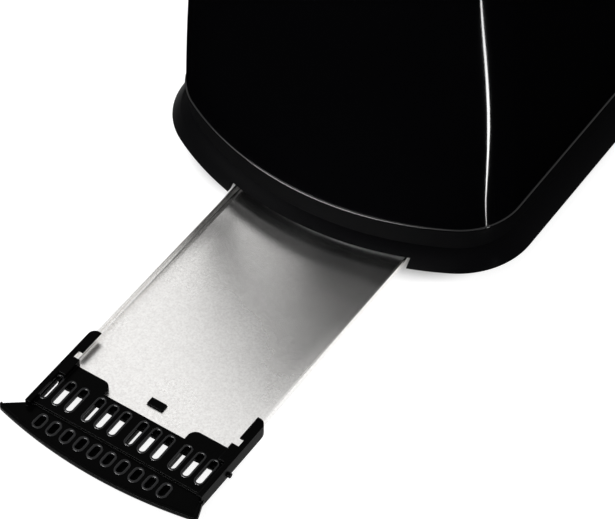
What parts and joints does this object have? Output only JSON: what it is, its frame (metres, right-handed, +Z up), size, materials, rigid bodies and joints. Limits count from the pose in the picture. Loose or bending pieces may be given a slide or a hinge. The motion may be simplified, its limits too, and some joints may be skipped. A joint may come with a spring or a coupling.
{
  "type": "pop up toaster",
  "caption": "Long-bodied pop-up toaster in gloss black with a flared satin base, end lever, dial and push buttons, and a steel crumb tray drawn out on its handle.",
  "frame": {"origin": "on the table, below the middle of the box around the whole object with its crumb tray drawn out", "axes": "+X to the right when facing the tray end, +Y from the tray end towards the lever end, +Z up"},
  "size_m": [0.191, 0.458, 0.188],
  "materials": {
    "skirt_satin": "satin moulded, fine grain",
    "shell_gloss": "high gloss moulded",
    "frame_steel": "brushed along the slots",
    "sheet_steel": "galvanised sheet",
    "tray_steel": "brushed, lightly heat marked",
    "handle_plastic": "satin moulded",
    "reflector": "bright rolled",
    "mica": "pressed mica sheet",
    "nichrome": "oxidised ribbon",
    "wire_chrome": "plated wire",
    "rod_steel": "ground and plated",
    "spring_steel": "drawn wire",
    "bush_nylon": "natural moulded nylon",
    "control_black": "gloss moulded",
    "panel_satin": "satin moulded",
    "core_iron": "plain soft iron",
    "coil_copper": "enamelled copper winding",
    "board_green": "solder mask",
    "component_black": "moulded",
    "component_blue": "moulded",
    "rubber_black": "moulded",
    "block_white": "moulded",
    "lead_insulation": "silicone sleeve",
    "screw_steel": "zinc plated"
  },
  "bodies": {
    "toaster": {"base_skirt": "skirt_satin", "outer_shell": "shell_gloss", "slot_frame": "frame_steel", "base_plate": "sheet_steel", "tray_runner_left": "sheet_steel", "tray_runner_right": "sheet_steel", "front_end_plate": "sheet_steel", "rear_end_plate": "sheet_steel", "side_shield_left": "reflector", "side_shield_right": "reflector", "crumb_chute_left": "sheet_steel", "crumb_chute_right": "sheet_steel", "heater_board_left": "mica", "heater_board_centre": "mica", "heater_board_right": "mica", "heating_wire_left": "nichrome", "heating_wire_centre": "nichrome", "heating_wire_right": "nichrome", "guard_wires_left_outer": "wire_chrome", "guard_wires_left_inner": "wire_chrome", "guard_wires_right_inner": "wire_chrome", "guard_wires_right_outer": "wire_chrome", "guide_rod": "rod_steel", "lift_spring": "spring_steel", "latch_magnet": "core_iron", "magnet_coil": "coil_copper", "magnet_bracket": "sheet_steel", "circuit_board": "board_green", "button_switches": "component_black", "browning_control": "component_blue", "control_panel": "panel_satin", "rubber_feet": "rubber_black", "cord_bush": "rubber_black", "terminal_block": "block_white", "power_leads": "lead_insulation", "base_screws": "screw_steel", "chassis_screws": "screw_steel"},
    "tray": {"crumb_tray": "tray_steel", "tray_handle": "handle_plastic"},
    "carriage": {"carriage_bracket": "sheet_steel", "guide_bush": "bush_nylon", "bread_rack_left": "wire_chrome", "bread_rack_right": "wire_chrome", "keeper_plate": "core_iron", "lever_knob": "control_black"},
    "dial": {"dial_shaft": "rod_steel", "browning_dial": "control_black"},
    "cancel": {"cancel_button": "control_black"},
    "reheat": {"reheat_button": "control_black"},
    "defrost": {"defrost_button": "control_black"},
    "bun": {"bun_button": "control_black"}
  },
  "joints": [
    {"name": "tray_slide", "type": "slide", "parent": "toaster", "child": "tray", "axis": [0, 1, 0], "range_m": [0, 0.158]},
    {"name": "lever_slide", "type": "slide", "parent": "toaster", "child": "carriage", "axis": [0, 0, -1], "range_m": [0, 0.072], "stiffness_N_per_m": 60, "springref_m": -0.06, "deforming": ["lift_spring"]},
    {"name": "dial_turn", "type": "hinge", "parent": "toaster", "child": "dial", "pos_m": [0, 0.2157, 0.046], "axis": [0, -1, 0], "range_deg": [-135, 135]},
    {"name": "cancel_press", "type": "slide", "parent": "toaster", "child": "cancel", "axis": [0, -1, 0], "range_m": [0, 0.002], "stiffness_N_per_m": 400, "springref_m": -0.002},
    {"name": "reheat_press", "type": "slide", "parent": "toaster", "child": "reheat", "axis": [0, -1, 0], "range_m": [0, 0.002], "stiffness_N_per_m": 400, "springref_m": -0.002},
    {"name": "defrost_press", "type": "slide", "parent": "toaster", "child": "defrost", "axis": [0, -1, 0], "range_m": [0, 0.002], "stiffness_N_per_m": 400, "springref_m": -0.002},
    {"name": "bun_press", "type": "slide", "parent": "toaster", "child": "bun", "axis": [0, -1, 0], "range_m": [0, 0.002], "stiffness_N_per_m": 400, "springref_m": -0.002}
  ]
}
